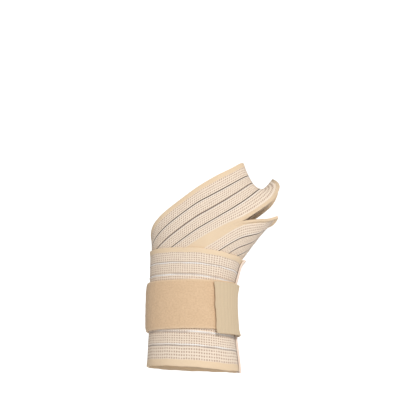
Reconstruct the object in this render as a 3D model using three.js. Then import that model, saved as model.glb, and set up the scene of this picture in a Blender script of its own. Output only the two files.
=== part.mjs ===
// Elastic wrist wrap in its worn form: one wide elastic band with a thumb slit, wound once over the
// back and twice round the wrist, its end bound with tape, closed by a brushed strap with a hook tab.
// Millimetres. +Z runs up the wrap, -Y is its back and +X its thumb side. The origin is the centre of
// the wrist hollow, at the middle of the strap.
import * as THREE from 'three';
import { mergeVertices } from 'three/addons/utils/BufferGeometryUtils.js';

// The elastic band
const BAND_WIDTH = 92;
const BAND_THICKNESS = 1.2;
const LAYER_GAP = 0.3;
const END_TAPE_THICKNESS = 2;

// The thumb slit's lower lip rolls outwards in a narrow cuff
const LIP_CUFF_WIDTH = 3;
const LIP_CUFF_FLARE = 0.6;

// The closure
const STRAP_WIDTH = 38;
const STRAP_THICKNESS = 2;
const STRAP_RAISE = 0.5;
const STRAP_BOW = 1.2;
const TAB_WIDTH = 40;
const TAB_THICKNESS = 1.6;
const TAB_CLIMB = 1;
const TAB_DROP = 2.5;
const TAB_END_SLANT = 1.3;

// The form that the band is wound on: an oval column with a branch for the thumb opening
const WRIST_BREADTH = 62.5;
const WRIST_DEPTH = 40;
const WEB_HEIGHT = 100;
const THUMB_SPREAD = 66;
const THUMB_DIAMETER = 19;
const WEB_FILLET = 27;

// Where the band, the strap and the tab begin and end, in degrees of winding: 0 is the thumb side,
// 90 the back, 180 the outer side and 270 the palm side
const BAND_START_ANGLE = -150;
const SLIT_END_ANGLE = 32;
const FIRST_END_ANGLE = 180;
const BAND_END_ANGLE = 699.4;
const END_TAPE_START_ANGLE = 700;
const END_TAPE_END_ANGLE = 722;
const STRAP_START_ANGLE = 722.6;
const STRAP_END_ANGLE = 1048;
const TAB_START_ANGLE = 1048.6;
const TAB_END_ANGLE = 1146;
const FULL_TURN = 360;

// Where the strap begins and ends its bow, and how far before its end and before the second passing of
// the end tape it climbs, in degrees of winding
const BOW_START_ANGLE = 765;
const BOW_FULL_ANGLE = 855;
const BOW_FADE_ANGLE = 975;
const BOW_END_ANGLE = 1035;
const CLIMB_LEAD_ANGLE = 15;
const CLIMB_CLEAR_ANGLE = 2;

// The column's sections: height as a share of WEB_HEIGHT, reach to the outer and thumb sides as shares
// of WRIST_BREADTH, and depth to the back and palm sides as shares of WRIST_DEPTH
const COLUMN_SECTIONS = [
  { at: -0.65, outer: 0.552, thumb: 0.500, back: 0.525, palm: 0.525 },
  { at: -0.49, outer: 0.536, thumb: 0.494, back: 0.513, palm: 0.513 },
  { at: -0.19, outer: 0.514, thumb: 0.440, back: 0.495, palm: 0.500 },
  { at: 0.05, outer: 0.506, thumb: 0.422, back: 0.488, palm: 0.500 },
  { at: 0.27, outer: 0.508, thumb: 0.446, back: 0.475, palm: 0.500 },
  { at: 0.36, outer: 0.508, thumb: 0.450, back: 0.462, palm: 0.508 },
  { at: 0.44, outer: 0.509, thumb: 0.530, back: 0.447, palm: 0.515 },
  { at: 0.58, outer: 0.523, thumb: 0.614, back: 0.425, palm: 0.525 },
  { at: 0.78, outer: 0.576, thumb: 0.690, back: 0.400, palm: 0.488 },
  { at: 1.00, outer: 0.624, thumb: 0.698, back: 0.375, palm: 0.425 },
  { at: 1.25, outer: 0.664, thumb: 0.571, back: 0.350, palm: 0.375 },
];

// The branch's three joints: reach as a share of THUMB_SPREAD, offset towards the palm side as a share
// of THUMB_DIAMETER, height as a share of WEB_HEIGHT
const BRANCH_JOINTS = [
  { reach: 0.244, palm: 0.11, height: 0.467 },
  { reach: 1.003, palm: 0.22, height: 0.880 },
  { reach: 1.218, palm: 0.22, height: 1.138 },
];

// The band's path. `at` is the winding angle on the back, which the palm side mirrors.
// `middle` is the centreline's height as a share of WEB_HEIGHT, `rise` and `drop` the heights of the
// two edges above and below it as shares of BAND_WIDTH
const FIRST_PATH = [
  { at: 0, middle: 0.755, rise: 0.467, drop: 0.400 },
  { at: 8, middle: 0.720, rise: 0.500, drop: 0.410 },
  { at: 16, middle: 0.705, rise: 0.500, drop: 0.430 },
  { at: SLIT_END_ANGLE, middle: 0.671, rise: 0.478, drop: 0.450 },
  { at: 60, middle: 0.558, rise: 0.508, drop: 0.455 },
  { at: 90, middle: 0.448, rise: 0.528, drop: 0.465 },
  { at: 120, middle: 0.340, rise: 0.532, drop: 0.480 },
  { at: 150, middle: 0.235, rise: 0.525, drop: 0.495 },
  { at: FIRST_END_ANGLE, middle: 0.140, rise: 0.500, drop: 0.500 },
];
const LATER_PATH = [
  { at: FIRST_END_ANGLE, middle: 0.140, rise: 0.500, drop: 0.500 },
  { at: 225, middle: 0.050, rise: 0.495, drop: 0.495 },
  { at: 270, middle: 0.000, rise: 0.490, drop: 0.490 },
  { at: 315, middle: -0.030, rise: 0.485, drop: 0.480 },
  { at: 360, middle: -0.050, rise: 0.480, drop: 0.475 },
  { at: 405, middle: -0.045, rise: 0.495, drop: 0.490 },
  { at: 450, middle: -0.020, rise: 0.505, drop: 0.495 },
  { at: 520, middle: -0.005, rise: 0.500, drop: 0.490 },
  { at: 630, middle: -0.020, rise: 0.500, drop: 0.490 },
  { at: END_TAPE_END_ANGLE, middle: -0.050, rise: 0.480, drop: 0.495 },
];

// The slit's upper lip: shares of THUMB_SPREAD, THUMB_DIAMETER and WEB_HEIGHT
const UPPER_LIP = [
  { at: 0, reach: 0.989, out: 0.00, height: 1.058 },
  { at: 6, reach: 1.032, out: 0.56, height: 0.995 },
  { at: 12, reach: 1.023, out: 0.60, height: 0.945 },
  { at: 18, reach: 0.956, out: 0.62, height: 0.868 },
  { at: 25, reach: 0.808, out: 0.74, height: 0.787 },
  { at: 29, reach: 0.695, out: 0.92, height: 0.727 },
  { at: SLIT_END_ANGLE, reach: 0.576, out: 1.00, height: 0.671 },
];

const HALF_BAND_ROWS = 9;
const CUFF_ROW_SHARE = 0.07;
const STRAP_ROWS = 4;

// How far to each side of the web the cloth is evened out, and how many times
const EVEN_TO_ANGLE = 50;
const EVEN_PASSES = 60;

// Reads a table at any value of its `at` column, with a smooth curve through the rows
function readTable(rows, at, column) {
  const last = rows.length - 1;
  const clamped = THREE.MathUtils.clamp(at, rows[0].at, rows[last].at);
  let i = 0;
  while (i < last - 1 && rows[i + 1].at < clamped) i += 1;
  const slope = (k) => {
    const before = Math.max(k - 1, 0);
    const after = Math.min(k + 1, last);
    return (rows[after][column] - rows[before][column]) / (rows[after].at - rows[before].at);
  };
  const span = rows[i + 1].at - rows[i].at;
  const t = (clamped - rows[i].at) / span;
  const ease = 3 * t ** 2 - 2 * t ** 3;
  const values = rows[i][column] * (1 - ease) + rows[i + 1][column] * ease;
  return values + span * (slope(i) * (t ** 3 - 2 * t ** 2 + t) + slope(i + 1) * (t ** 3 - t ** 2));
}

// Distance from a point to the oval column
function columnDistance(point) {
  const at = point.z / WEB_HEIGHT;
  const outer = readTable(COLUMN_SECTIONS, at, 'outer') * WRIST_BREADTH;
  const thumb = readTable(COLUMN_SECTIONS, at, 'thumb') * WRIST_BREADTH;
  const back = readTable(COLUMN_SECTIONS, at, 'back') * WRIST_DEPTH;
  const palm = readTable(COLUMN_SECTIONS, at, 'palm') * WRIST_DEPTH;
  const halfBreadth = (outer + thumb) / 2;
  const halfDepth = (back + palm) / 2;
  const x = (point.x - (thumb - outer) / 2) / halfBreadth;
  const y = (point.y - (palm - back) / 2) / halfDepth;
  const level = Math.hypot(x, y);
  return (level * (level - 1)) / Math.max(Math.hypot(x / halfBreadth, y / halfDepth), 1e-9);
}

const branchJoints = BRANCH_JOINTS.map((joint) => new THREE.Vector3(
  joint.reach * THUMB_SPREAD, joint.palm * THUMB_DIAMETER, joint.height * WEB_HEIGHT));
const branchLines = [
  new THREE.Line3(branchJoints[0], branchJoints[1]),
  new THREE.Line3(branchJoints[1], branchJoints[2]),
];

// Distance from a point to the branch
function branchDistance(point) {
  const nearest = new THREE.Vector3();
  const distances = branchLines.map((line) => (
    line.closestPointToPoint(point, true, nearest).distanceTo(point)));
  return Math.min(...distances) - THUMB_DIAMETER / 2;
}

// Distance from a point to the whole form, with the web between column and branch rounded
function formDistance(point) {
  const column = columnDistance(point);
  const branch = branchDistance(point);
  const overlap = Math.max(WEB_FILLET - Math.abs(column - branch), 0) / WEB_FILLET;
  return Math.min(column, branch) - overlap ** 2 * WEB_FILLET / 4;
}

const AXES = [new THREE.Vector3(1, 0, 0), new THREE.Vector3(0, 1, 0), new THREE.Vector3(0, 0, 1)];
const SLOPE_STEP = 0.05;

// The direction and rate in which the distance to the form grows
function slopeAt(point) {
  return new THREE.Vector3(...AXES.map((axis) => {
    const ahead = formDistance(point.clone().addScaledVector(axis, SLOPE_STEP));
    const behind = formDistance(point.clone().addScaledVector(axis, -SLOPE_STEP));
    return (ahead - behind) / (2 * SLOPE_STEP);
  }));
}

const DRAPE_STEPS = 8;
const DRAPE_CLOSE = 1e-4;

// Moves a point straight out of or into the form until it lies `lift` above it
function drape(start, lift) {
  const point = start.clone();
  for (let step = 0; step < DRAPE_STEPS; step += 1) {
    const short = lift - formDistance(point);
    if (Math.abs(short) < DRAPE_CLOSE) break;
    const slope = slopeAt(point);
    point.addScaledVector(slope, short / Math.max(slope.lengthSq(), 1e-6));
  }
  return point;
}

const RAY_STEP = 1;
const RAY_HALVINGS = 20;

// Halves the way between a point inside and one outside until it finds where `lift` is reached
function crossing(inside, outside, lift) {
  const from = inside.clone();
  const to = outside.clone();
  for (let halving = 0; halving < RAY_HALVINGS; halving += 1) {
    const middle = from.clone().lerp(to, 0.5);
    if (formDistance(middle) < lift) from.copy(middle);
    else to.copy(middle);
  }
  return from;
}

// The point at a winding angle and height that lies `lift` above the form
function ringPoint(turn, height, lift) {
  const angle = THREE.MathUtils.degToRad(turn);
  const outwards = new THREE.Vector3(Math.cos(angle) * WRIST_BREADTH, -Math.sin(angle) * WRIST_DEPTH, 0);
  outwards.normalize();
  const point = new THREE.Vector3(0, 0, height);
  for (let reach = 0; reach < 2 * WRIST_BREADTH && formDistance(point) < lift; reach += RAY_STEP) {
    point.addScaledVector(outwards, RAY_STEP);
  }
  return crossing(point.clone().addScaledVector(outwards, -RAY_STEP), point, lift);
}

// The band climbs by one thickness and a gap with each turn, so each layer lies on the one before
function bandLift(turn) {
  return (turn - BAND_START_ANGLE) / FULL_TURN * (BAND_THICKNESS + LAYER_GAP);
}

function bandHeights(turn) {
  const path = turn < FIRST_END_ANGLE ? FIRST_PATH : LATER_PATH;
  const at = turn < FIRST_END_ANGLE ? Math.abs(turn) : turn;
  const middle = readTable(path, at, 'middle') * WEB_HEIGHT;
  const top = middle + readTable(path, at, 'rise') * BAND_WIDTH;
  const bottom = middle - readTable(path, at, 'drop') * BAND_WIDTH;
  return { top, middle, bottom };
}

// The upper lip of the slit, which becomes the band's centreline past the slit's end
function upperLipPoint(turn, lift) {
  const at = Math.abs(turn);
  if (at >= SLIT_END_ANGLE) return ringPoint(turn, bandHeights(turn).middle, lift);
  const reach = readTable(UPPER_LIP, at, 'reach') * THUMB_SPREAD;
  const out = readTable(UPPER_LIP, at, 'out') * THUMB_DIAMETER;
  const height = readTable(UPPER_LIP, at, 'height') * WEB_HEIGHT;
  const draped = drape(new THREE.Vector3(reach, branchJoints[1].y - Math.sign(turn) * out, height), lift);
  const end = ringPoint(Math.sign(turn) * SLIT_END_ANGLE, bandHeights(SLIT_END_ANGLE).middle, lift);
  const blend = THREE.MathUtils.smoothstep(at, UPPER_LIP[UPPER_LIP.length - 2].at, SLIT_END_ANGLE);
  return draped.lerp(end, blend);
}

// How far the lower lip of the slit stands off the form
function cuffFlare(turn, across) {
  const alongSlit = Math.max(1 - (turn / SLIT_END_ANGLE) ** 2, 0);
  const cuffShare = LIP_CUFF_WIDTH / (BAND_WIDTH / 2);
  return LIP_CUFF_FLARE * Math.sqrt(alongSlit) * Math.max(1 - across / cuffShare, 0);
}

// A point of the band's inner face. `across` runs from 0 at the centreline or slit to 1 at an edge
function bandPoint(turn, half, across) {
  const lift = bandLift(turn);
  const { top, middle, bottom } = bandHeights(turn);
  if (half === 'upper' && turn < FIRST_END_ANGLE) {
    return drape(upperLipPoint(turn, lift).lerp(ringPoint(turn, top, lift), across), lift);
  }
  const face = ringPoint(turn, THREE.MathUtils.lerp(middle, half === 'upper' ? top : bottom, across), lift);
  return half === 'lower' ? drape(face, lift + cuffFlare(turn, across)) : face;
}

// Evens out the cloth over the web: each point moves between its neighbours and back on to the form
function evenOut(faces, turns) {
  const last = faces[0].length - 1;
  for (let pass = 0; pass < EVEN_PASSES; pass += 1) {
    turns.forEach((turn, column) => {
      if (Math.abs(turn) > EVEN_TO_ANGLE) return;
      for (let row = 1; row < last; row += 1) {
        const middle = new THREE.Vector3();
        middle.add(faces[column][row - 1]).add(faces[column][row + 1]);
        middle.add(faces[column - 1][row]).add(faces[column + 1][row]);
        faces[column][row] = drape(middle.multiplyScalar(0.25), bandLift(turn));
      }
    });
  }
}

// Adds the outer face to sections of inner points
function thicken(faces, thickness) {
  return faces.map((section) => section.map((inner) => (
    { inner, outer: drape(inner, formDistance(inner) + thickness) })));
}

// A closed wall through a grid of sections. Each section is a list of { inner, outer } points, and
// `cut(column, row)` is true where a cell between two rows is open
function wallGeometry(sections, cut = () => false) {
  const positions = [];
  const quad = (a, b, c, d) => {
    for (const point of [a, b, c, a, c, d]) positions.push(point.x, point.y, point.z);
  };
  const lastColumn = sections.length - 1;
  const lastRow = sections[0].length - 1;
  const outside = (column, row) => column < 0 || row < 0 || column >= lastColumn || row >= lastRow;
  const open = (column, row) => outside(column, row) || cut(column, row);
  for (let column = 0; column < lastColumn; column += 1) {
    for (let row = 0; row < lastRow; row += 1) {
      if (open(column, row)) continue;
      const [a, b] = [sections[column][row], sections[column + 1][row]];
      const [d, c] = [sections[column][row + 1], sections[column + 1][row + 1]];
      quad(a.outer, b.outer, c.outer, d.outer);
      quad(d.inner, c.inner, b.inner, a.inner);
      if (open(column, row - 1)) quad(a.inner, b.inner, b.outer, a.outer);
      if (open(column, row + 1)) quad(d.outer, c.outer, c.inner, d.inner);
      if (open(column - 1, row)) quad(d.inner, a.inner, a.outer, d.outer);
      if (open(column + 1, row)) quad(b.inner, c.inner, c.outer, b.outer);
    }
  }
  const geometry = new THREE.BufferGeometry();
  geometry.setAttribute('position', new THREE.Float32BufferAttribute(positions, 3));
  const merged = mergeVertices(geometry, 1e-4);
  merged.computeVertexNormals();
  return merged;
}

// Evenly spaced turns from one to another
function turnsBetween(from, to, step) {
  const count = Math.max(Math.round(Math.abs(to - from) / step), 1);
  return Array.from({ length: count + 1 }, (_, i) => THREE.MathUtils.lerp(from, to, i / count));
}

const BAND_STEP_ANGLE = 8;
// Closer stations along the slit, on each side of the web
const SLIT_TURNS = [0, 0.8, 1.6, 2.5, 3.5, 4.7, 6, 8, 10, 12.5, 15, 18, 21.5, 25, 28.5, SLIT_END_ANGLE];

// The elastic band: palm side, thumb slit, back, then almost two turns of the wrist
function elasticBand() {
  const turns = [
    ...turnsBetween(BAND_START_ANGLE, -SLIT_END_ANGLE, BAND_STEP_ANGLE).slice(0, -1),
    ...SLIT_TURNS.slice(1).reverse().map((turn) => -turn),
    ...SLIT_TURNS,
    ...turnsBetween(SLIT_END_ANGLE, FIRST_END_ANGLE, BAND_STEP_ANGLE).slice(1),
    ...turnsBetween(FIRST_END_ANGLE, BAND_END_ANGLE, BAND_STEP_ANGLE).slice(1),
  ];
  const upperRows = turnsBetween(1, 0, 1 / HALF_BAND_ROWS);
  const lowerRows = [0, CUFF_ROW_SHARE, ...turnsBetween(0, 1, 1 / HALF_BAND_ROWS).slice(1)];
  const upper = turns.map((turn) => upperRows.map((across) => bandPoint(turn, 'upper', across)));
  const lower = turns.map((turn) => lowerRows.map((across) => bandPoint(turn, 'lower', across)));
  evenOut(upper, turns);
  const faces = upper.map((section, column) => [...section, ...lower[column]]);
  return slitWall(thicken(faces, BAND_THICKNESS), turns, upperRows.length - 1);
}

// The woven tape folded over the band's end
function endTape() {
  const faces = turnsBetween(END_TAPE_START_ANGLE, END_TAPE_END_ANGLE, BAND_STEP_ANGLE).map((turn) => (
    turnsBetween(1, -1, 1 / HALF_BAND_ROWS).map((across) => (
      bandPoint(turn, across > 0 ? 'upper' : 'lower', Math.abs(across))))));
  return wallGeometry(thicken(faces, END_TAPE_THICKNESS));
}

// A wall whose middle row of cells is a slit: open between the slit's ends and closed to nothing
// beyond them
function slitWall(sections, turns, slitRow) {
  sections.forEach((section, column) => {
    if (Math.abs(turns[column]) >= SLIT_END_ANGLE - 1e-6) section[slitRow + 1] = section[slitRow];
  });
  const geometry = wallGeometry(sections, (column, row) => {
    const middle = (turns[column] + turns[column + 1]) / 2;
    return row === slitRow && Math.abs(middle) < SLIT_END_ANGLE;
  });
  return dropFlatCells(geometry);
}

// Removes triangles that have two corners in one place
function dropFlatCells(geometry) {
  const kept = [];
  const corners = geometry.index.array;
  for (let i = 0; i < corners.length; i += 3) {
    const [a, b, c] = [corners[i], corners[i + 1], corners[i + 2]];
    if (a !== b && b !== c && c !== a) kept.push(a, b, c);
  }
  geometry.setIndex(kept);
  geometry.computeVertexNormals();
  return geometry;
}

// The closure goes on climbing as the band does. It bows off the outer side, away from its edges, and
// its end climbs over the end tape and its own beginning
function closureLift(turn, across) {
  const side = Math.cos(THREE.MathUtils.degToRad(turn)) ** 4;
  const { smoothstep } = THREE.MathUtils;
  const bowed = smoothstep(turn, BOW_START_ANGLE, BOW_FULL_ANGLE);
  const free = bowed - smoothstep(turn, BOW_FADE_ANGLE, BOW_END_ANGLE);
  const climbStart = STRAP_END_ANGLE - CLIMB_LEAD_ANGLE;
  const climbEnd = END_TAPE_START_ANGLE + FULL_TURN - CLIMB_CLEAR_ANGLE;
  const climb = smoothstep(turn, climbStart, climbEnd);
  return bandLift(turn) + STRAP_BOW * side * free * (1 - across ** 4) + TAB_CLIMB * climb;
}

// One length of the closure, `raise` above the origin at its middle, its end slanted by `slant` degrees
function closureWall(from, to, width, raise, thickness, slant) {
  const faces = turnsBetween(0, 1, BAND_STEP_ANGLE / (to - from)).map((along) => (
    turnsBetween(1, -1, 2 / STRAP_ROWS).map((across) => {
      const turn = THREE.MathUtils.lerp(from, to + slant * across, along);
      return ringPoint(turn, raise + across * width / 2, closureLift(turn, across));
    })));
  return wallGeometry(thicken(faces, thickness));
}

function closureStrap() {
  return closureWall(STRAP_START_ANGLE, STRAP_END_ANGLE, STRAP_WIDTH, STRAP_RAISE, STRAP_THICKNESS, 0);
}

function hookTab() {
  const raise = STRAP_RAISE - TAB_DROP;
  return closureWall(TAB_START_ANGLE, TAB_END_ANGLE, TAB_WIDTH, raise, TAB_THICKNESS, TAB_END_SLANT);
}

function mesh(name, geometry, colour, roughness) {
  const material = new THREE.MeshStandardMaterial({ color: colour, roughness, metalness: 0 });
  const piece = new THREE.Mesh(geometry, material);
  piece.name = name;
  return piece;
}

const wristWrap = new THREE.Group();
wristWrap.add(
  mesh('elastic_band', elasticBand(), 0xe6d8c0, 0.85),
  mesh('end_tape', endTape(), 0xeed9c6, 0.85),
  mesh('closure_strap', closureStrap(), 0xdfc29e, 0.95),
  mesh('hook_tab', hookTab(), 0xd6c6a4, 0.7),
);

export default wristWrap;
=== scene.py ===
import math

import bpy
import numpy as np
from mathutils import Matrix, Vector


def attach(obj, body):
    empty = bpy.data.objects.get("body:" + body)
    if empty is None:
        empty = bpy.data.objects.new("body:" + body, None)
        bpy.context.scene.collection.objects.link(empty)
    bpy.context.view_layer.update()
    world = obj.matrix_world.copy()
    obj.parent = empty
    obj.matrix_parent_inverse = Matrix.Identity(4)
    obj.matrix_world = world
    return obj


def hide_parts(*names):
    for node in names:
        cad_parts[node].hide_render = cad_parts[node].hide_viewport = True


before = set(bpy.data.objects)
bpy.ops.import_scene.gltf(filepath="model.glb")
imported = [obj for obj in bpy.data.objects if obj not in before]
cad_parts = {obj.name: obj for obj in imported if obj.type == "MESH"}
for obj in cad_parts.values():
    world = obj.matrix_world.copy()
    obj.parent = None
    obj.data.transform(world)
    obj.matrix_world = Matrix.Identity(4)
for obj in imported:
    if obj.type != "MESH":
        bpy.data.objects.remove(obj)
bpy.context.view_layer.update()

MM = 0.001

# The elastic band and its layers
BAND_WIDTH = 92
BAND_THICKNESS = 1.2
LAYER_GAP = 0.3

# The tape over the band's end
END_TAPE_WIDTH = 13
END_TAPE_THICKNESS = 2

# The thumb slit's lower lip. The place and width of its seam are shares of half the roll's width, and
# the roll reaches a little past the slit's ends.
LIP_CUFF_WIDTH = 3
LIP_CUFF_FLARE = 0.6
LIP_ROLL_WIDTH = 2.6
LIP_ROLL_HEIGHT = 0.9
LIP_ROLL_PAST_ANGLE = 2
LIP_ROLL_ONSET = 3
LIP_SEAM_PLACE = 1.35
LIP_SEAM_WIDTH = 0.3
LIP_SEAM_DEPTH = 0.45

# The closure
STRAP_WIDTH = 38
STRAP_THICKNESS = 2
STRAP_RAISE = 0.5
STRAP_BOW = 1.2
TAB_WIDTH = 40
TAB_THICKNESS = 1.6
TAB_CLIMB = 1
TAB_DROP = 2.5
TAB_END_SLANT = 1.3

# The form that the band is wound on
WRIST_BREADTH = 62.5
WRIST_DEPTH = 40
WEB_HEIGHT = 100
THUMB_SPREAD = 66
THUMB_DIAMETER = 19
WEB_FILLET = 27

# Degrees of winding: 0 is the thumb side, 90 the back, 180 the outer side and 270 the palm side. The
# weave is stretched on the later turns.
BAND_START_ANGLE = -150
SLIT_END_ANGLE = 32
FIRST_END_ANGLE = 180
STRETCH_START_ANGLE = 300
STRETCH_FULL_ANGLE = 360
BAND_END_ANGLE = 699.4
END_TAPE_START_ANGLE = 700
END_TAPE_END_ANGLE = 722
STRAP_START_ANGLE = 722.6
STRAP_END_ANGLE = 1048
TAB_START_ANGLE = 1048.6
TAB_END_ANGLE = 1146
BOW_START_ANGLE = 765
BOW_FULL_ANGLE = 855
BOW_FADE_ANGLE = 975
BOW_END_ANGLE = 1035
CLIMB_LEAD_ANGLE = 15
CLIMB_CLEAR_ANGLE = 2
FULL_TURN = 360

# Stripes and zones of the weave, as shares of half the flat band's width from its middle
STRIPES = (0.30, 0.52, 0.74)
MIDDLE_ZONE = 0.105
SELVAGE = 0.915

# The stripes' grooves and the ribs beside them, and how far stretching closes and lifts them
GROOVE_HALF = 0.4
GROOVE_DEPTH = 0.3
GROOVE_CLOSING = 0.12
RIB_HALF = 0.5
RIB_OFFSET = 1.0
RIB_HEIGHT = 0.1
RIB_LIFTING = 0.25

# The open mesh between the stripes. The edges of a gap are shares of the pitch from its centre.
MESH_PITCH = 1.84
GAP_OUTER_EDGE = 0.36
GAP_INNER_EDGE = 0.16
GAP_UNEVENNESS = 0.24
ZONE_BLEND = 0.4

# at, then the middle zone's edge and the three stripes above the middle, and the same four below it: at
# each winding angle, where they lie on the stretched band as shares of half its worn width
STRIPE_PLACES = np.array([
    (0, 0.060, 0.385, 0.560, 0.720, 0.075, 0.320, 0.500, 0.680),
    (14, 0.055, 0.340, 0.540, 0.716, 0.070, 0.320, 0.500, 0.680),
    (32, 0.065, 0.292, 0.508, 0.712, 0.080, 0.330, 0.510, 0.685),
    (60, 0.095, 0.286, 0.498, 0.715, 0.110, 0.334, 0.520, 0.690),
    (90, 0.101, 0.290, 0.510, 0.735, 0.117, 0.334, 0.530, 0.720),
    (180, 0.101, 0.290, 0.510, 0.735, 0.117, 0.334, 0.574, 0.785),
    (378, 0.124, 0.355, 0.565, 0.765, 0.070, 0.200, 0.430, 0.656),
    (450, 0.119, 0.340, 0.557, 0.757, 0.070, 0.200, 0.430, 0.656),
    (560, 0.114, 0.325, 0.545, 0.750, 0.070, 0.200, 0.430, 0.656),
])

# at, outer, thumb, back, palm: height as a share of WEB_HEIGHT, reach to each side as shares of
# WRIST_BREADTH, depth behind and before the middle as shares of WRIST_DEPTH
COLUMN_SECTIONS = np.array([
    (-0.65, 0.552, 0.500, 0.525, 0.525),
    (-0.49, 0.536, 0.494, 0.513, 0.513),
    (-0.19, 0.514, 0.440, 0.495, 0.500),
    (0.05, 0.506, 0.422, 0.488, 0.500),
    (0.27, 0.508, 0.446, 0.475, 0.500),
    (0.36, 0.508, 0.450, 0.462, 0.508),
    (0.44, 0.509, 0.530, 0.447, 0.515),
    (0.58, 0.523, 0.614, 0.425, 0.525),
    (0.78, 0.576, 0.690, 0.400, 0.488),
    (1.00, 0.624, 0.698, 0.375, 0.425),
    (1.25, 0.664, 0.571, 0.350, 0.375),
])

# reach, palmwards, height of the branch's joints: shares of THUMB_SPREAD, THUMB_DIAMETER, WEB_HEIGHT
BRANCH_JOINTS = np.array([
    (0.244, 0.11, 0.467),
    (1.003, 0.22, 0.880),
    (1.218, 0.22, 1.138),
]) * (THUMB_SPREAD, THUMB_DIAMETER, WEB_HEIGHT)

# at, middle, rise, drop: winding angle, centreline as a share of WEB_HEIGHT, and the heights of the
# edges above and below it as shares of BAND_WIDTH
FIRST_PATH = np.array([
    (0, 0.755, 0.467, 0.400),
    (8, 0.720, 0.500, 0.410),
    (16, 0.705, 0.500, 0.430),
    (32, 0.671, 0.478, 0.450),
    (60, 0.558, 0.508, 0.455),
    (90, 0.448, 0.528, 0.465),
    (120, 0.340, 0.532, 0.480),
    (150, 0.235, 0.525, 0.495),
    (180, 0.140, 0.500, 0.500),
])
LATER_PATH = np.array([
    (180, 0.140, 0.500, 0.500),
    (225, 0.050, 0.495, 0.495),
    (270, 0.000, 0.490, 0.490),
    (315, -0.030, 0.485, 0.480),
    (360, -0.050, 0.480, 0.475),
    (405, -0.045, 0.495, 0.490),
    (450, -0.020, 0.505, 0.495),
    (520, -0.005, 0.500, 0.490),
    (630, -0.020, 0.500, 0.490),
    (722, -0.050, 0.480, 0.495),
])

# at, reach, out, height of the slit's upper lip: winding angle, then shares of THUMB_SPREAD,
# THUMB_DIAMETER and WEB_HEIGHT
UPPER_LIP = np.array([
    (0, 0.989, 0.00, 1.058),
    (6, 1.032, 0.56, 0.995),
    (12, 1.023, 0.60, 0.945),
    (18, 0.956, 0.62, 0.868),
    (25, 0.808, 0.74, 0.787),
    (29, 0.695, 0.92, 0.727),
    (32, 0.576, 1.00, 0.671),
])


# The form that the cloth is wound on: an upright column with a bent branch on the thumb side

def read_table(table, at, column):
    """A smooth curve through one column of a table, at any values of its first column."""
    rows = table[:, 0]
    values = table[:, column]
    at = np.clip(at, rows[0], rows[-1])
    i = np.clip(np.searchsorted(rows, at, side="left") - 1, 0, len(rows) - 2)
    slopes = np.gradient(values) / np.gradient(rows)
    span = rows[i + 1] - rows[i]
    t = (at - rows[i]) / span
    start = values[i] * (2 * t**3 - 3 * t**2 + 1) + slopes[i] * span * (t**3 - 2 * t**2 + t)
    end = values[i + 1] * (3 * t**2 - 2 * t**3) + slopes[i + 1] * span * (t**3 - t**2)
    return start + end


def column_distance(points):
    """Distance out of the column, whose section changes with the height."""
    at = points[..., 2] / WEB_HEIGHT
    outer, thumb = (read_table(COLUMN_SECTIONS, at, c) * WRIST_BREADTH for c in (1, 2))
    back, palm = (read_table(COLUMN_SECTIONS, at, c) * WRIST_DEPTH for c in (3, 4))
    half_breadth = (outer + thumb) / 2
    half_depth = (back + palm) / 2
    x = (points[..., 0] - (thumb - outer) / 2) / half_breadth
    y = (points[..., 1] - (palm - back) / 2) / half_depth
    level = np.hypot(x, y)
    return level * (level - 1) / np.maximum(np.hypot(x / half_breadth, y / half_depth), 1e-9)


def branch_distance(points):
    """Distance out of the branch, which has round ends and one bend."""
    nearest = []
    for start, end in zip(BRANCH_JOINTS[:-1], BRANCH_JOINTS[1:]):
        run = end - start
        share = np.clip((points - start) @ run / (run @ run), 0, 1)
        nearest.append(np.linalg.norm(points - start - share[..., None] * run, axis=-1))
    return np.minimum(*nearest) - THUMB_DIAMETER / 2


def form_distance(points):
    """Distance out of the column and the branch, joined with a soft fillet at the web."""
    column = column_distance(points)
    branch = branch_distance(points)
    overlap = np.maximum(WEB_FILLET - np.abs(column - branch), 0) / WEB_FILLET
    return np.minimum(column, branch) - overlap**2 * WEB_FILLET / 4


SLOPE_STEP = 0.05
DRAPE_STEPS = 6


def slope_at(points):
    """The direction out of the form, as steep as the form's distance grows."""
    return np.stack([
        (form_distance(points + axis) - form_distance(points - axis)) / (2 * SLOPE_STEP)
        for axis in np.eye(3) * SLOPE_STEP
    ], axis=-1)


def drape(points, lift):
    """Moves points straight out of or into the form until they lie `lift` above it."""
    points = points.copy()
    for _ in range(DRAPE_STEPS):
        slope = slope_at(points)
        short = (lift - form_distance(points)) / np.maximum((slope**2).sum(-1), 1e-6)
        points += slope * short[..., None]
    return points


RAY_STEP = 1
RAY_REACH = 90
RAY_HALVINGS = 20


def ring_points(turns, heights, lifts):
    """The points at winding angles and heights that lie `lifts` above the form."""
    turns, heights, lifts = np.broadcast_arrays(turns, heights, lifts)
    angle = np.radians(turns)
    outwards = np.stack([np.cos(angle) * WRIST_BREADTH, -np.sin(angle) * WRIST_DEPTH], axis=-1)
    outwards /= np.linalg.norm(outwards, axis=-1, keepdims=True)

    def at(reach):
        return np.concatenate([outwards * reach[..., None], heights[..., None]], axis=-1)

    outside = np.zeros(turns.shape)
    for _ in range(RAY_REACH // RAY_STEP):
        outside = np.where(form_distance(at(outside)) < lifts, outside + RAY_STEP, outside)
    inside = outside - RAY_STEP
    for _ in range(RAY_HALVINGS):
        middle = (inside + outside) / 2
        within = form_distance(at(middle)) < lifts
        inside = np.where(within, middle, inside)
        outside = np.where(within, outside, middle)
    return at(inside)


# The band's path

def smoothstep(value, low, high):
    t = np.clip((value - low) / (high - low), 0, 1)
    return t * t * (3 - 2 * t)


def band_lift(turn):
    """Height of the band's inner face above the form, a layer more after each full turn."""
    return (turn - BAND_START_ANGLE) / FULL_TURN * (BAND_THICKNESS + LAYER_GAP)


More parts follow.
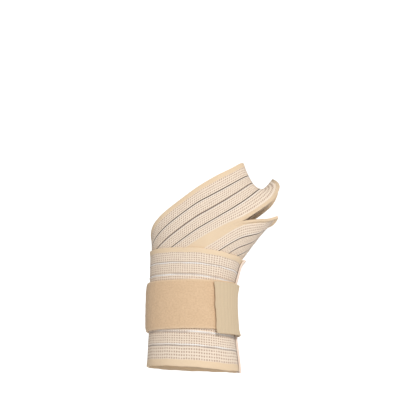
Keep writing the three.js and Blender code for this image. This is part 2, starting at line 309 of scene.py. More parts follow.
def band_heights(turn):
    """Top, middle and bottom of the band at each winding angle."""
    on_first_turn = turn < FIRST_END_ANGLE

    def column(number):
        return np.where(on_first_turn, read_table(FIRST_PATH, np.abs(turn), number),
                        read_table(LATER_PATH, turn, number))

    middle = column(1) * WEB_HEIGHT
    return middle + column(2) * BAND_WIDTH, middle, middle - column(3) * BAND_WIDTH


def upper_lip_points(turn):
    """The slit's upper lip, folded over the web, and the band's middle line past the slit."""
    lift = band_lift(turn)
    at = np.abs(turn)
    reach = read_table(UPPER_LIP, at, 1) * THUMB_SPREAD
    out = read_table(UPPER_LIP, at, 2) * THUMB_DIAMETER
    height = read_table(UPPER_LIP, at, 3) * WEB_HEIGHT
    start = np.stack([reach, BRANCH_JOINTS[1][1] - np.sign(turn) * out, height], axis=-1)
    on_lip = drape(start, lift)
    slit_end_height = band_heights(np.array([float(SLIT_END_ANGLE)]))[1]
    end = ring_points(np.sign(turn) * SLIT_END_ANGLE, slit_end_height, lift)
    blend = smoothstep(at, UPPER_LIP[-2][0], SLIT_END_ANGLE)[..., None]
    past_slit = ring_points(turn, band_heights(turn)[1], lift)
    return np.where((at < SLIT_END_ANGLE)[..., None], on_lip * (1 - blend) + end * blend, past_slit)


EVEN_TO_ANGLE = 50
EVEN_PASSES = 150
EVEN_ROWS = 9
SLIT_TURNS = np.array([0, 0.8, 1.6, 2.5, 3.5, 4.7, 6, 8, 10, 12.5, 15, 18, 21.5, 25, 28.5, SLIT_END_ANGLE])
BAND_STEP_ANGLE = 8


def turns_between(start, end, step):
    return np.linspace(start, end, max(round(abs(end - start) / step), 1) + 1)


def first_turn_stations():
    """Winding angles from the band's start to the outer side, closer together at the slit."""
    return np.concatenate([
        turns_between(BAND_START_ANGLE, -SLIT_END_ANGLE, BAND_STEP_ANGLE)[:-1],
        -SLIT_TURNS[:0:-1],
        SLIT_TURNS,
        turns_between(SLIT_END_ANGLE, FIRST_END_ANGLE, BAND_STEP_ANGLE)[1:],
    ])


def evened_upper_half(stations):
    """The cloth between rim and slit, evened out over the web as cloth would lie."""
    lift = band_lift(stations)[:, None]
    lip = upper_lip_points(stations)[:, None]
    rim = ring_points(stations, band_heights(stations)[0], lift[:, 0])[:, None]
    share = np.linspace(1, 0, EVEN_ROWS + 1)[None, :, None]
    cloth = drape(lip * (1 - share) + rim * share, lift)
    near_web = (np.abs(stations) <= EVEN_TO_ANGLE)[1:-1, None, None]
    for _ in range(EVEN_PASSES):
        middle = (cloth[:-2, 1:-1] + cloth[2:, 1:-1] + cloth[1:-1, :-2] + cloth[1:-1, 2:]) / 4
        cloth[1:-1, 1:-1] = np.where(near_web, drape(middle, lift[1:-1]), cloth[1:-1, 1:-1])
    return cloth


def read_between(lines, position):
    """Reads each line of points at fractional places, on a smooth curve through its points."""
    last = lines.shape[1] - 1
    i = np.clip(np.floor(position).astype(int), 0, last - 1)
    t = (position - i)[..., None]
    line = np.arange(len(lines))[:, None]
    before, start, end, after = (lines[line, np.clip(i + k, 0, last)] for k in (-1, 0, 1, 2))
    return 0.5 * (2 * start + (end - before) * t + (2 * before - 5 * start + 4 * end - after) * t**2
                  + (3 * start - before - 3 * end + after) * t**3)


def worn_share(turns, weave_rows, side):
    """Where rows of the flat weave lie on the stretched band, as shares of half its worn width."""
    columns = (1, 2, 3, 4) if side > 0 else (5, 6, 7, 8)
    places = [read_table(STRIPE_PLACES, np.abs(turns), column) for column in columns]
    worn = np.stack([np.zeros_like(turns), *places, np.ones_like(turns)], axis=-1)
    knots = np.array([0, MIDDLE_ZONE, *STRIPES, 1])
    i = np.clip(np.searchsorted(knots, weave_rows, side="right") - 1, 0, len(knots) - 2)
    t = (weave_rows - knots[i]) / (knots[i + 1] - knots[i])
    return worn[:, i] * (1 - t) + worn[:, i + 1] * t


def cuff_flare(turn, share):
    """How far the slit's lower lip stands off the form."""
    along = np.maximum(1 - (turn / SLIT_END_ANGLE)**2, 0)
    cuff_share = LIP_CUFF_WIDTH / (BAND_WIDTH / 2)
    return LIP_CUFF_FLARE * np.sqrt(along) * np.maximum(1 - share / cuff_share, 0)


# Small forms of the cloth

rng = np.random.default_rng(7)

NOISE_WAVES = 14


def soft_noise(x, y):
    """Smooth random relief of about -1 to 1, the same on each run."""
    total = np.zeros(np.broadcast(x, y).shape)
    for _ in range(NOISE_WAVES):
        across, along = rng.normal(size=2)
        phase = rng.uniform(0, 2 * math.pi)
        total += np.sin(across * x + along * y + phase)
    return total / math.sqrt(NOISE_WAVES / 2) / 2


def stretch_at(turn):
    """0 on the first turn, 1 on the later turns, where the stripes stand up as white ribs."""
    return smoothstep(turn, STRETCH_START_ANGLE, STRETCH_FULL_ANGLE)


SELVAGE_RAISE = 0.18
MIDDLE_RAISE = 0.12
ZONE_STEP = 0.03
SLACK_HEIGHT = 0.14
SLACK_ALONG = 4
SLACK_ACROSS = 9

# The pull at the slit's ends: fine folds that fade out along the band and across it
PULL_HEIGHT = 0.3
PULL_REACH_ANGLE = 16
PULL_REACH_SHARE = 0.3
PULL_FOLDS = 1.1
PULL_SLANT = 0.25
PULL_FROM_ANGLE = -90


def band_relief(turn, weave, along):
    """Relief of the weave: stripes, raised selvages, slack and the pull of the slit's ends."""
    half = BAND_WIDTH / 2
    away = np.abs(weave)
    relief = SELVAGE_RAISE * smoothstep(away, SELVAGE - ZONE_STEP / 3, SELVAGE + ZONE_STEP)
    relief = relief + MIDDLE_RAISE * (1 - smoothstep(away, MIDDLE_ZONE, MIDDLE_ZONE + ZONE_STEP))
    stretch = stretch_at(turn)
    for stripe in STRIPES:
        distance = (away - stripe) * half
        groove_depth = GROOVE_DEPTH - GROOVE_CLOSING * stretch
        relief = relief - groove_depth * np.exp(-(distance / GROOVE_HALF)**2)
        rib = (distance + RIB_OFFSET) / RIB_HALF
        relief = relief + (RIB_HEIGHT + RIB_LIFTING * stretch) * np.exp(-rib**2)
    relief = relief + SLACK_HEIGHT * soft_noise(along / SLACK_ALONG, weave * half / SLACK_ACROSS)
    near_end = np.exp(-((np.abs(turn) - SLIT_END_ANGLE) / PULL_REACH_ANGLE)**2)
    pull = near_end * np.exp(-(weave / PULL_REACH_SHARE)**2)
    folds = np.sin(weave * half * PULL_FOLDS + along * PULL_SLANT)
    return relief + PULL_HEIGHT * pull * folds * (turn > PULL_FROM_ANGLE)


EDGE_RIPPLE = 0.14
EDGE_LAG_ANGLE = 90


def edge_ripple(turn):
    """The slight wave of the free edges on the later turns."""
    return EDGE_RIPPLE * stretch_at(turn) * (np.sin(turn * 0.2) + 0.6 * np.sin(turn * 0.47 + 1))


def lip_roll(turn, share):
    """The rolled hem of the slit's lower lip."""
    from_middle = turn / (SLIT_END_ANGLE + LIP_ROLL_PAST_ANGLE)
    in_slit = np.minimum(LIP_ROLL_ONSET * np.sqrt(np.maximum(1 - from_middle**2, 0)), 1)
    across = (share * BAND_WIDTH / 2 - LIP_ROLL_WIDTH / 2) / (LIP_ROLL_WIDTH / 2)
    roll = LIP_ROLL_HEIGHT * np.sqrt(np.maximum(1 - across**2, 0))
    return in_slit * (roll - LIP_SEAM_DEPTH * np.exp(-((across - LIP_SEAM_PLACE) / LIP_SEAM_WIDTH)**2))


# Meshes

def select_only(piece):
    bpy.ops.object.select_all(action="DESELECT")
    piece.select_set(True)
    bpy.context.view_layer.objects.active = piece


def apply_modifiers(piece):
    select_only(piece)
    for modifier in list(piece.modifiers):
        bpy.ops.object.modifier_apply(modifier=modifier.name)


def cloth_piece(name, points, along, across, lift, relief):
    """A grid of cloth cut flat, then laid on its points. `along` and `across` become its UV map."""
    columns, rows = points.shape[:2]
    bpy.ops.object.select_all(action="DESELECT")
    bpy.ops.mesh.primitive_grid_add(x_subdivisions=columns - 1, y_subdivisions=rows - 1, size=1)
    piece = bpy.context.active_object
    piece.name = name
    mesh = piece.data
    set_attribute(piece, "lift", lift, points.shape[:2])
    set_attribute(piece, "relief", relief, points.shape[:2])
    flat = np.zeros(len(mesh.vertices) * 3)
    mesh.vertices.foreach_get("co", flat)
    flat = flat.reshape(-1, 3)
    column = np.rint((flat[:, 0] + 0.5) * (columns - 1)).astype(int)
    row = np.rint((flat[:, 1] + 0.5) * (rows - 1)).astype(int)
    mesh.vertices.foreach_set("co", (points[column, row] * MM).ravel())
    corner = np.zeros(len(mesh.loops), dtype=int)
    mesh.loops.foreach_get("vertex_index", corner)
    uv = np.stack(np.broadcast_arrays(along, across), axis=-1)[column[corner], row[corner]]
    mesh.uv_layers[0].data.foreach_set("uv", uv.ravel())
    mesh.update()
    return piece


def set_attribute(piece, name, values, shape):
    """Keeps a value for each vertex of a grid of that shape."""
    attribute = piece.data.attributes.new(name, "FLOAT", "POINT")
    attribute.data.foreach_set("value", np.broadcast_to(values, shape).T.astype(np.float32).ravel())


def read_attribute(mesh, name):
    values = np.zeros(len(mesh.vertices), dtype=np.float32)
    mesh.attributes[name].data.foreach_get("value", values)
    return values


def emboss(piece, thickness):
    """Raises the outer face by the relief kept at its vertices, and drops those values."""
    mesh = piece.data
    points = np.zeros(len(mesh.vertices) * 3)
    mesh.vertices.foreach_get("co", points)
    points = points.reshape(-1, 3) / MM
    through = (form_distance(points) - read_attribute(mesh, "lift")) / thickness
    outwards = slope_at(points)
    outwards /= np.linalg.norm(outwards, axis=-1, keepdims=True)
    points += outwards * (read_attribute(mesh, "relief") * smoothstep(through, 0.3, 0.9))[:, None]
    mesh.vertices.foreach_set("co", (points * MM).ravel())
    for name in ("lift", "relief"):
        mesh.attributes.remove(mesh.attributes[name])
    mesh.update()


def face_outwards(piece):
    """Turns the cloth's faces away from the form, judged at one face."""
    face = piece.data.polygons[0]
    centre = np.array(face.center)[None] / MM
    step = np.array(face.normal)[None]
    if form_distance(centre + step)[0] < form_distance(centre)[0]:
        select_only(piece)
        bpy.ops.object.mode_set(mode="EDIT")
        bpy.ops.mesh.select_all(action="SELECT")
        bpy.ops.mesh.flip_normals()
        bpy.ops.object.mode_set(mode="OBJECT")


BEVEL_FROM_ANGLE = 55
SMOOTH_TO_ANGLE = 50


def thicken(piece, thickness, edge, segments=2):
    """Gives the cloth its thickness outwards, rounds its cut edges and raises its relief."""
    face_outwards(piece)
    solidify = piece.modifiers.new("thickness", "SOLIDIFY")
    solidify.thickness = thickness * MM
    solidify.offset = 1
    bevel = piece.modifiers.new("edge", "BEVEL")
    bevel.width = edge * MM
    bevel.segments = segments
    bevel.limit_method = "ANGLE"
    bevel.angle_limit = math.radians(BEVEL_FROM_ANGLE)
    bevel.use_clamp_overlap = True
    apply_modifiers(piece)
    emboss(piece, thickness)
    bpy.ops.object.shade_smooth_by_angle(angle=math.radians(SMOOTH_TO_ANGLE))


# The pieces

ROWS_PER_HALF = 27
NARROWEST_ROW = 0.28
LIP_ROWS = np.array([0.45, 0.9, 1.35, 1.8, 2.25, 2.7, 3.1])
STRIPE_ROWS = (-1.9, -1.45, -1.0, -0.55, -0.2, 0.1, 0.45, 0.9)


def half_rows(extra=()):
    """Shares of the half width for the rows of the weave, closer at stripes and lips."""
    half = BAND_WIDTH / 2
    rows = list(np.linspace(0, 1, ROWS_PER_HALF)) + [SELVAGE, MIDDLE_ZONE] + list(extra)
    for stripe in STRIPES:
        rows += [stripe + offset / half for offset in STRIPE_ROWS]
    rows = np.unique(np.round(sorted(rows), 5))
    kept = [rows[0]]
    for row in rows[1:]:
        if (row - kept[-1]) * half > NARROWEST_ROW:
            kept.append(row)
    kept[-1] = 1.0
    return np.array(kept)


def length_along(points):
    """Distance along each row of a grid."""
    steps = np.linalg.norm(np.diff(points, axis=0), axis=-1)
    return np.concatenate([np.zeros((1, points.shape[1])), np.cumsum(steps, axis=0)])


COLUMNS_PER_STEP = 3
SHEAR_ZERO_ANGLE = 60
SHEAR_FADE_ANGLES = (180, 300)
COVERED_RELIEF = 0.25
COVER_MARGIN = 1
BAND_EDGE = 0.3
MERGE_DISTANCE = 0.002


def weave_along(points, turns, level_row):
    """Places of the weft: each row has its own length over the web, and later turns are level."""
    own = length_along(points)
    own -= own[np.argmin(np.abs(turns - SHEAR_ZERO_ANGLE))]
    level = own[:, level_row, None]
    fade = smoothstep(turns, *SHEAR_FADE_ANGLES)[:, None]
    along = own + (level - own) * fade
    return along - along.min()


def woven_band():
    """The wound elastic and its length along the weave."""
    stations = first_turn_stations()
    coarse = evened_upper_half(stations)
    position = np.linspace(0, len(stations) - 1, (len(stations) - 1) * COLUMNS_PER_STEP + 1)
    first_turns = np.interp(position, np.arange(len(stations)), stations)
    later_turns = turns_between(FIRST_END_ANGLE, BAND_END_ANGLE, BAND_STEP_ANGLE / COLUMNS_PER_STEP)[1:]
    turns = np.concatenate([first_turns, later_turns])
    upper_weave = half_rows()[::-1]
    lower_weave = half_rows(LIP_ROWS / (BAND_WIDTH / 2))
    upper = worn_share(turns, upper_weave, 1)
    lower = worn_share(turns, lower_weave, -1)
    turn = turns[:, None]
    lift = band_lift(turn)
    top, middle, bottom = (height[:, None] for height in band_heights(turns))
    top = top + edge_ripple(turn)
    bottom = bottom + edge_ripple(turn + EDGE_LAG_ANGLE)

    upper_points = ring_points(turn, middle + (top - middle) * upper, lift)
    positions = np.broadcast_to(position, (EVEN_ROWS + 1, len(position)))
    columns = read_between(coarse.transpose(1, 0, 2), positions).transpose(1, 0, 2)
    upper_points[:len(first_turns)] = read_between(columns, (1 - upper[:len(first_turns)]) * EVEN_ROWS)
    lower_points = ring_points(turn, middle + (bottom - middle) * lower, lift)
    points = np.concatenate([upper_points, lower_points], axis=1)
    share = np.concatenate([upper, -lower], axis=1)
    weave = np.concatenate([upper_weave, -lower_weave])[None, :]
    slit_row = len(upper_weave) - 1
    along = weave_along(points, turns, slit_row + 1)

    free = free_of_cover(turn, points[..., 2])
    relief = band_relief(turn, weave, along) * (COVERED_RELIEF + (1 - COVERED_RELIEF) * free)
    below = np.arange(points.shape[1]) > slit_row
    lift = lift + np.where(below, cuff_flare(turn, -share), 0)
    relief = relief + np.where(below, lip_roll(turn, -share), 0)
    shaped = drape(points, lift)
    closed = np.abs(turns) >= SLIT_END_ANGLE - 1e-6
    shaped[closed, slit_row + 1] = shaped[closed, slit_row]

    piece = cloth_piece("woven_band", shaped, along / along.max(), (weave + 1) / 2, lift, relief)
    set_attribute(piece, "stretch", stretch_at(turn), along.shape)
    open_slit(piece, turns, slit_row, len(turns))
    thicken(piece, BAND_THICKNESS, BAND_EDGE)
    return piece, along.max()


def free_of_cover(turn, height):
    """1 where no further layer lies on the band, 0 where one does or lies close by."""
    next_turn = np.minimum(turn + FULL_TURN, BAND_END_ANGLE)
    over_top, _, over_bottom = band_heights(next_turn)
    within = (height < over_top + COVER_MARGIN) & (height > over_bottom - COVER_MARGIN)
    covered = (turn + FULL_TURN < END_TAPE_END_ANGLE) & within
    under_tab = np.abs(height) < TAB_WIDTH / 2 + TAB_DROP + COVER_MARGIN
    strapped = (turn > STRAP_START_ANGLE - FULL_TURN) & under_tab
    return np.where(covered | strapped, 0.0, 1.0)


def open_slit(piece, turns, slit_row, columns):
    """Cuts the slit's row of faces away and closes the rows that meet beyond its ends."""
    mesh = piece.data
    select_only(piece)
    bpy.ops.object.mode_set(mode="EDIT")
    bpy.ops.mesh.select_mode(type="FACE")
    bpy.ops.mesh.select_all(action="DESELECT")
    bpy.ops.object.mode_set(mode="OBJECT")
    for face in mesh.polygons:
        corners = np.array(face.vertices)
        column = corners % columns
        row = corners // columns
        if row.min() == slit_row and row.max() == slit_row + 1:
            face.select = abs(turns[column].mean()) < SLIT_END_ANGLE
    bpy.ops.object.mode_set(mode="EDIT")
    bpy.ops.mesh.delete(type="FACE")
    bpy.ops.mesh.select_all(action="SELECT")
    bpy.ops.mesh.remove_doubles(threshold=MERGE_DISTANCE * MM)
    bpy.ops.object.mode_set(mode="OBJECT")


# The closure's pieces and the tape have walls a little thinner than their solids, as room for relief
TAPE_RELIEF_ROOM = 0.3
TAPE_FOLD = 0.16
TAPE_SLACK = 0.1
TAPE_EDGE = 0.5
TAPE_ROWS = 90
STRAP_RELIEF_ROOM = 0.2
STRAP_EDGE = 0.7
STRAP_EDGE_PRESS = 0.25
NAP_HEIGHT = 0.1
FINE_NAP_HEIGHT = 0.06
STRAP_STEP_ANGLE = 1.6
STRAP_ROWS = 49
TAB_RELIEF_ROOM = 0.3
TAB_EDGE = 0.35
TAB_COLUMNS = 170
TAB_ROWS = 41


def end_binding():
    """The tape folded over the band's cut end."""
    turns = turns_between(END_TAPE_START_ANGLE, END_TAPE_END_ANGLE, 1)
    turn = turns[:, None]
    share = np.linspace(1, -1, TAPE_ROWS)[None, :]
    top, middle, bottom = (height[:, None] for height in band_heights(turns))
    height = np.where(share > 0, middle + (top - middle) * share, middle + (middle - bottom) * share)
    along = np.linspace(0, 1, len(turns))[:, None]
    fold = TAPE_FOLD * np.sin(along * math.pi)
    relief = fold + TAPE_SLACK * soft_noise(turn, share * 30)
    points = ring_points(turn, height, band_lift(turn))
    piece = cloth_piece("end_binding", points, along, (share + 1) / 2, band_lift(turn), relief)
    thicken(piece, END_TAPE_THICKNESS - TAPE_RELIEF_ROOM, TAPE_EDGE, segments=3)
    return piece


def closure_lift(turn, across):
    """Height of the closure's inner face: it bows out at the outer side and climbs on the end tape."""
    side = np.cos(np.radians(turn))**4
    begun = smoothstep(turn, BOW_START_ANGLE, BOW_FULL_ANGLE)
    free = begun - smoothstep(turn, BOW_FADE_ANGLE, BOW_END_ANGLE)
    climb_end = END_TAPE_START_ANGLE + FULL_TURN - CLIMB_CLEAR_ANGLE
    climb = smoothstep(turn, STRAP_END_ANGLE - CLIMB_LEAD_ANGLE, climb_end)
    return band_lift(turn) + STRAP_BOW * side * free * (1 - across**4) + TAB_CLIMB * climb


def brushed_strap():
    """The loop strap and its length."""
    turns = turns_between(STRAP_START_ANGLE, STRAP_END_ANGLE, STRAP_STEP_ANGLE)
    turn = turns[:, None]
    across = np.linspace(1, -1, STRAP_ROWS)[None, :]
    lift = closure_lift(turn, across)
    points = ring_points(turn, STRAP_RAISE + across * STRAP_WIDTH / 2, lift)
    along = length_along(points)[:, points.shape[1] // 2, None]
    nap = NAP_HEIGHT * soft_noise(along / 1.6, across * STRAP_WIDTH / 3.2)
    nap = nap + FINE_NAP_HEIGHT * soft_noise(along * 1.9, across * STRAP_WIDTH)
    relief = nap - STRAP_EDGE_PRESS * smoothstep(np.abs(across), 0.93, 1)
    piece = cloth_piece("brushed_strap", points, along / along.max(), (across + 1) / 2, lift, relief)
    thicken(piece, STRAP_THICKNESS - STRAP_RELIEF_ROOM, STRAP_EDGE, segments=3)
    return piece, along.max()


TAB_RIB_PITCH = 1.1
TAB_BAND_PITCH = 3.1
TAB_RIB_HEIGHT = 0.07
TAB_BAND_HEIGHT = 0.09
TAB_END_LIFT = 0.35
TAB_CORNER_LIFT = 0.8
TAB_SEAT_GAP = 0.1


def ribbed_tab():
    """The hook tab, with a slightly uneven end and a lower corner that stands off, and its length."""
    share_along = np.linspace(0, 1, TAB_COLUMNS)[:, None]
    across = np.linspace(1, -1, TAB_ROWS)[None, :]
    wave = 0.35 * np.sin(across * 7 + 0.8) + 0.2 * np.sin(across * 15)
    end = TAB_END_ANGLE + TAB_END_SLANT * across + wave
    turn = TAB_START_ANGLE + (end - TAB_START_ANGLE) * share_along
    lift = closure_lift(turn, across)
    points = ring_points(turn, STRAP_RAISE - TAB_DROP + across * TAB_WIDTH / 2, lift)
    along = length_along(points)[:, points.shape[1] // 2, None]
    ribs = TAB_RIB_HEIGHT * np.sin(along * 2 * math.pi / TAB_RIB_PITCH)
    ribs = ribs + TAB_BAND_HEIGHT * np.sin(along * 2 * math.pi / TAB_BAND_PITCH)
    lifted_end = TAB_END_LIFT * smoothstep(share_along, 0.93, 1) * (0.6 + 0.4 * np.sin(across * 5))
    past_tape = smoothstep(share_along, 0.1, 0.35) * (1 - smoothstep(share_along, 0.35, 0.6))
    lifted_corner = TAB_CORNER_LIFT * past_tape * smoothstep(-across, 0.75, 1)
    lift = lift + TAB_SEAT_GAP + lifted_end + lifted_corner
    points = drape(points, lift)
    piece = cloth_piece("ribbed_tab", points, along / along.max(), (across + 1) / 2, lift, ribs)
    thicken(piece, TAB_THICKNESS - TAB_RELIEF_ROOM, TAB_EDGE)
    return piece, along.max()


# Materials. Colours are screen colours from 0 to 255, a lighter and a darker one for each cloth.

SMOOTH_YARN = ((246, 222, 190), (237, 209, 175))
MESH_YARN = ((250, 234, 215), (243, 224, 203))
# Painted shade in the mesh's gaps, brownish like skin seen through them
MESH_GAP_SHADE = (184, 146, 124)
LOOSE_FIBRE = (205, 180, 152)
RIB_YARN = (250, 246, 242)
# Painted shade in the stripes' grooves, and a paler painted shade for them on the stretched turns
GROOVE_SHADOW = (104, 88, 76)
STRETCHED_GROOVE_SHADOW = (188, 172, 160)
TAPE_YARN = ((250, 236, 222), (245, 224, 208))
TAPE_SHADOW = (218, 190, 168)
LOOP_NAP = ((232, 200, 165), (222, 190, 154))
LOOP_SHADOW = (200, 166, 128)
LOOP_EDGE = (236, 208, 174)
HOOK_YARN = ((240, 219, 188), (232, 209, 177))
HOOK_RIB_SHADOW = (214, 192, 160)
HOOK_BAND_SHADOW = (206, 184, 152)


def linear(red, green, blue):
    """A screen colour from 0 to 255 as the renderer's linear colour."""
    return tuple(((c / 255 + 0.055) / 1.055)**2.4 if c > 10 else c / 255 / 12.92
                 for c in (red, green, blue)) + (1.0,)


class Cloth:
    """A cloth material and the node steps that the cloths share. Lengths are millimetres of flat cloth."""

    def __init__(self, name, length, width, roughness, sheen):
        self.material = bpy.data.materials.new(name)
        self.material.use_nodes = True
        self.tree = self.material.node_tree
        self.shader = self.tree.nodes["Principled BSDF"]
        self.shader.inputs["Roughness"].default_value = roughness
        self.shader.inputs["Sheen Weight"].default_value = sheen
        self.shader.inputs["Sheen Roughness"].default_value = 0.5
        self.shader.inputs["Specular IOR Level"].default_value = 0.25
        uv = self.tree.nodes.new("ShaderNodeUVMap")
        uv.uv_map = "UVMap"
        split = self.tree.nodes.new("ShaderNodeSeparateXYZ")
        self.tree.links.new(uv.outputs[0], split.inputs[0])
        self.along = self.math("MULTIPLY", split.outputs[0], length)
        self.across = self.math("MULTIPLY", self.math("SUBTRACT", split.outputs[1], 0.5), width)

    def feed(self, socket, value):
        if isinstance(value, bpy.types.NodeSocket):
            self.tree.links.new(value, socket)
        else:
            socket.default_value = value

    def math(self, operation, *values):
        node = self.tree.nodes.new("ShaderNodeMath")
        node.operation = operation
        for socket, value in zip(node.inputs, values):
            self.feed(socket, value)
        return node.outputs[0]

    def ramp(self, value, low, high):
        """0 below low, 1 above high, smooth between. High below low turns it round."""
        node = self.tree.nodes.new("ShaderNodeMapRange")
        node.interpolation_type = "SMOOTHSTEP"
        for name, number in (("From Min", min(low, high)), ("From Max", max(low, high)),
                             ("To Min", 0 if low < high else 1), ("To Max", 1 if low < high else 0)):
            node.inputs[name].default_value = number
        self.feed(node.inputs["Value"], value)
        return node.outputs[0]

    def mix(self, factor, first, second):
        """The first colour where the factor is 0, the second where it is 1."""
        node = self.tree.nodes.new("ShaderNodeMix")
        node.data_type = "RGBA"
        self.feed(node.inputs[0], factor)
        self.feed(node.inputs[6], first)
        self.feed(node.inputs[7], second)
        return node.outputs[2]

    def noise(self, size, stretch=1.0, detail=2.0):
        """Noise with features about `size` millimetres across, drawn out along the cloth."""
        place = self.tree.nodes.new("ShaderNodeCombineXYZ")
        self.feed(place.inputs[0], self.math("DIVIDE", self.along, size * stretch))
        self.feed(place.inputs[1], self.math("DIVIDE", self.across, size))
        node = self.tree.nodes.new("ShaderNodeTexNoise")
        node.inputs["Scale"].default_value = 1.0
        node.inputs["Detail"].default_value = detail
        self.tree.links.new(place.outputs[0], node.inputs["Vector"])
        return node.outputs[0]

    def wave(self, value, pitch):
        """A ridge every `pitch` millimetres, from 0 to 1."""
        turned = self.math("MULTIPLY", value, 2 * math.pi / pitch)
        return self.math("MULTIPLY_ADD", self.math("SINE", turned), 0.5, 0.5)

    def finish(self, colour, height, depth):
        """Joins colour and bump to the shader. The bump is `depth` millimetres deep."""
        self.feed(self.shader.inputs["Base Color"], colour)
        bump = self.tree.nodes.new("ShaderNodeBump")
        bump.inputs["Strength"].default_value = 1.0
        bump.inputs["Distance"].default_value = depth * MM
        self.feed(bump.inputs["Height"], height)
        self.tree.links.new(bump.outputs[0], self.shader.inputs["Normal"])
        return self.material


def mesh_gaps(cloth):
    """Round gaps of the open mesh: 1 in a gap, 0 on the yarns."""
    squares = []
    for place in (cloth.along, cloth.across):
        in_cell = cloth.math("FRACT", cloth.math("DIVIDE", place, MESH_PITCH))
        from_centre = cloth.math("SUBTRACT", in_cell, 0.5)
        squares.append(cloth.math("MULTIPLY", from_centre, from_centre))
    away = cloth.math("SQRT", cloth.math("ADD", *squares))
    uneven = cloth.math("MULTIPLY_ADD", cloth.noise(size=2.5), GAP_UNEVENNESS, -GAP_UNEVENNESS / 2)
    return cloth.ramp(cloth.math("ADD", away, uneven), GAP_OUTER_EDGE, GAP_INNER_EDGE)


def woven_elastic(length):
    """Open mesh between smooth zones, with painted shade in its gaps and in the stripes' grooves; on the
    stretched turns the grooves' painted shade pales and the ribs beside them turn white.
    """
    cloth = Cloth("woven_elastic", length, BAND_WIDTH, roughness=0.9, sheen=0.08)
    half = BAND_WIDTH / 2
    away = cloth.math("ABSOLUTE", cloth.across)
    past_middle = cloth.ramp(away, MIDDLE_ZONE * half - ZONE_BLEND, MIDDLE_ZONE * half + ZONE_BLEND)
    inside_selvage = cloth.ramp(away, SELVAGE * half + ZONE_BLEND, SELVAGE * half - ZONE_BLEND)
    in_mesh = cloth.math("MULTIPLY", past_middle, inside_selvage)
    gaps = cloth.math("MULTIPLY", mesh_gaps(cloth), in_mesh)
    shade = cloth.noise(size=18, stretch=2)
    fibre = cloth.noise(size=0.35, stretch=3, detail=4)
    smooth = cloth.mix(shade, *(linear(*yarn) for yarn in SMOOTH_YARN))
    mesh = cloth.mix(shade, *(linear(*yarn) for yarn in MESH_YARN))
    # The mesh's gaps are real, but their brown is painted shade, tinted like skin seen through them
    mesh = cloth.mix(cloth.math("MULTIPLY", gaps, 0.75), mesh, linear(*MESH_GAP_SHADE))
    colour = cloth.mix(in_mesh, smooth, mesh)
    colour = cloth.mix(cloth.math("MULTIPLY", fibre, 0.15), colour, linear(*LOOSE_FIBRE))

    attribute = cloth.tree.nodes.new("ShaderNodeAttribute")
    attribute.attribute_name = "stretch"
    stretch = attribute.outputs["Fac"]
    grooves = 0.0
    ribs = 0.0
    for stripe in STRIPES:
        from_stripe = cloth.math("SUBTRACT", away, stripe * half)
        from_rib = cloth.math("ABSOLUTE", cloth.math("ADD", from_stripe, RIB_OFFSET))
        grooves = cloth.math("MAXIMUM", cloth.ramp(cloth.math("ABSOLUTE", from_stripe), 0.62, 0.3), grooves)
        ribs = cloth.math("MAXIMUM", cloth.ramp(from_rib, 0.75, 0.35), ribs)
    patchy = cloth.ramp(cloth.noise(size=9, stretch=2), 0.35, 0.65)
    rib_strength = cloth.math("MULTIPLY_ADD", cloth.math("MULTIPLY", stretch, patchy), 0.7, 0.3)
    colour = cloth.mix(cloth.math("MULTIPLY", ribs, rib_strength), colour, linear(*RIB_YARN))
    # Painted shade in the stripes' grooves: dark on the first turn, paler and patchy on the stretched turns
    dark = cloth.mix(stretch, linear(*GROOVE_SHADOW), linear(*STRETCHED_GROOVE_SHADOW))
    faded = cloth.math("MULTIPLY", stretch, cloth.math("MULTIPLY", patchy, 0.6))
    groove_shade_strength = cloth.math("SUBTRACT", 1.0, faded)
    colour = cloth.mix(cloth.math("MULTIPLY", grooves, groove_shade_strength), colour, dark)

    twill = cloth.wave(cloth.math("ADD", cloth.along, cloth.math("MULTIPLY", cloth.across, 0.6)), 0.8)
    knit = cloth.math("MULTIPLY", twill, cloth.math("SUBTRACT", 1.0, in_mesh))
    height = cloth.math("MULTIPLY_ADD", gaps, -1.0, cloth.math("MULTIPLY", knit, 0.3))
    height = cloth.math("MULTIPLY_ADD", fibre, 0.5, height)
    return cloth.finish(colour, height, depth=0.35)


def binding_tape():
    """A fine plain weave."""
    cloth = Cloth("binding_tape", END_TAPE_WIDTH, BAND_WIDTH, roughness=0.9, sheen=0.08)
    weave = cloth.math("MULTIPLY", cloth.wave(cloth.along, 0.9), cloth.wave(cloth.across, 0.9))
    colour = cloth.mix(cloth.noise(size=7), *(linear(*yarn) for yarn in TAPE_YARN))
    colour = cloth.mix(cloth.math("MULTIPLY", weave, 0.2), colour, linear(*TAPE_SHADOW))
    return cloth.finish(colour, weave, depth=0.2)


def brushed_loop(length):
    """A soft nap with pale edges."""
    cloth = Cloth("brushed_loop", length, STRAP_WIDTH, roughness=0.97, sheen=0.2)
    nap = cloth.noise(size=1.1, stretch=1.2, detail=5)
    patches = cloth.noise(size=9, stretch=1.3, detail=3)
    light, dark = (linear(*shade) for shade in LOOP_NAP)
    colour = cloth.mix(patches, dark, light)
    shadow = cloth.math("MULTIPLY", cloth.ramp(nap, 0.35, 0.65), 0.4)
    colour = cloth.mix(shadow, colour, linear(*LOOP_SHADOW))
    edge = cloth.ramp(cloth.math("ABSOLUTE", cloth.across), STRAP_WIDTH / 2 - 1.8, STRAP_WIDTH / 2 - 0.6)
    colour = cloth.mix(cloth.math("MULTIPLY", edge, 0.6), colour, linear(*LOOP_EDGE))
    return cloth.finish(colour, nap, depth=0.5)


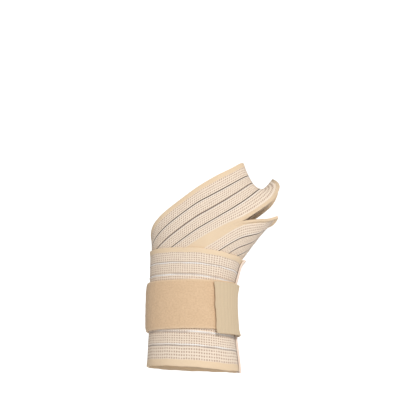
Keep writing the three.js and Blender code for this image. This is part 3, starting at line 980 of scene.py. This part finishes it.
def hook_tape(length):
    """Fine ribs across the tape, shaded in broader bands."""
    cloth = Cloth("hook_tape", length, TAB_WIDTH, roughness=0.65, sheen=0.08)
    ribs = cloth.wave(cloth.along, TAB_RIB_PITCH)
    bands = cloth.wave(cloth.along, TAB_BAND_PITCH)
    threads = cloth.wave(cloth.across, 0.7)
    colour = cloth.mix(cloth.noise(size=11, stretch=0.5), *(linear(*yarn) for yarn in HOOK_YARN))
    colour = cloth.mix(cloth.math("MULTIPLY", ribs, 0.35), linear(*HOOK_RIB_SHADOW), colour)
    colour = cloth.mix(cloth.math("MULTIPLY", bands, 0.3), colour, linear(*HOOK_BAND_SHADOW))
    height = cloth.math("MULTIPLY_ADD", threads, 0.35, ribs)
    return cloth.finish(colour, height, depth=0.12)


# The scene

def dress(piece, node, material):
    """Gives a piece its cloth, and puts it in its solid's place."""
    piece.data.materials.clear()
    piece.data.materials.append(material)
    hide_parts(node)
    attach(piece, "root")


CAMERA_PLACE = Vector((0.004, -0.800, -0.110))
CAMERA_TARGET = Vector((0.00405, 0.0, 0.0883))
CAMERA_HALF_VIEW = 0.1966
SENSOR = 36

FLOOR_RADIUS = 3
FLOOR_HEIGHT = -0.32
FLOOR_GLOW = 0.1
BACKDROP_SIZE = 2.4
BACKDROP_PLACE = (0, 2, 0.7)
BACKDROP_GLOW = 0.75
PAPER_SHADE = 0.8
PAPER_ROUGHNESS = 0.9
ROOM_LIGHT = 0.46
LIGHT_PLACE = (0.34, -1.0, 0.42)
LIGHT_TARGET = (0, 0, 0.03)
LIGHT_SIZE = 0.35
LIGHT_POWER = 7


def add_camera():
    data = bpy.data.cameras.new("camera")
    data.sensor_width = SENSOR
    data.lens = SENSOR / 2 / CAMERA_HALF_VIEW
    camera = bpy.data.objects.new("camera", data)
    bpy.context.scene.collection.objects.link(camera)
    camera.location = CAMERA_PLACE
    camera.rotation_mode = "QUATERNION"
    camera.rotation_quaternion = (CAMERA_TARGET - CAMERA_PLACE).to_track_quat("-Z", "Y")
    bpy.context.scene.camera = camera


def add_light():
    data = bpy.data.lights.new("key", "AREA")
    data.size = LIGHT_SIZE
    data.energy = LIGHT_POWER
    light = bpy.data.objects.new("key", data)
    bpy.context.scene.collection.objects.link(light)
    light.location = LIGHT_PLACE
    light.rotation_mode = "QUATERNION"
    light.rotation_quaternion = (Vector(LIGHT_TARGET) - Vector(LIGHT_PLACE)).to_track_quat("-Z", "Y")


def stage_piece(name, glow):
    """Names the new piece of the studio and papers it."""
    piece = bpy.context.active_object
    piece.name = name
    paper = bpy.data.materials.new(name + "_paper")
    paper.use_nodes = True
    shader = paper.node_tree.nodes["Principled BSDF"]
    shader.inputs["Base Color"].default_value = (PAPER_SHADE, PAPER_SHADE, PAPER_SHADE, 1)
    shader.inputs["Roughness"].default_value = PAPER_ROUGHNESS
    shader.inputs["Emission Color"].default_value = (1, 1, 1, 1)
    shader.inputs["Emission Strength"].default_value = glow
    piece.data.materials.append(paper)


def studio():
    """A pale floor, a bright sheet behind the object, and soft light from the front and right."""
    bpy.ops.object.select_all(action="DESELECT")
    bpy.ops.mesh.primitive_circle_add(vertices=64, radius=FLOOR_RADIUS, fill_type="NGON",
                                      location=(0, 0, FLOOR_HEIGHT))
    stage_piece("studio_floor", FLOOR_GLOW)
    bpy.ops.mesh.primitive_plane_add(size=BACKDROP_SIZE, location=BACKDROP_PLACE,
                                     rotation=(math.pi / 2, 0, 0))
    stage_piece("studio_backdrop", BACKDROP_GLOW)
    world = bpy.data.worlds.new("studio_light")
    world.use_nodes = True
    background = world.node_tree.nodes["Background"]
    background.inputs["Color"].default_value = (1, 1, 1, 1)
    background.inputs["Strength"].default_value = ROOM_LIGHT
    bpy.context.scene.world = world
    bpy.context.scene.view_settings.view_transform = "Standard"
    add_light()


add_camera()
studio()

band, band_length = woven_band()
dress(band, "elastic_band", woven_elastic(band_length))
tape = end_binding()
dress(tape, "end_tape", binding_tape())
strap, strap_length = brushed_strap()
dress(strap, "closure_strap", brushed_loop(strap_length))
tab, tab_length = ribbed_tab()
dress(tab, "hook_tab", hook_tape(tab_length))
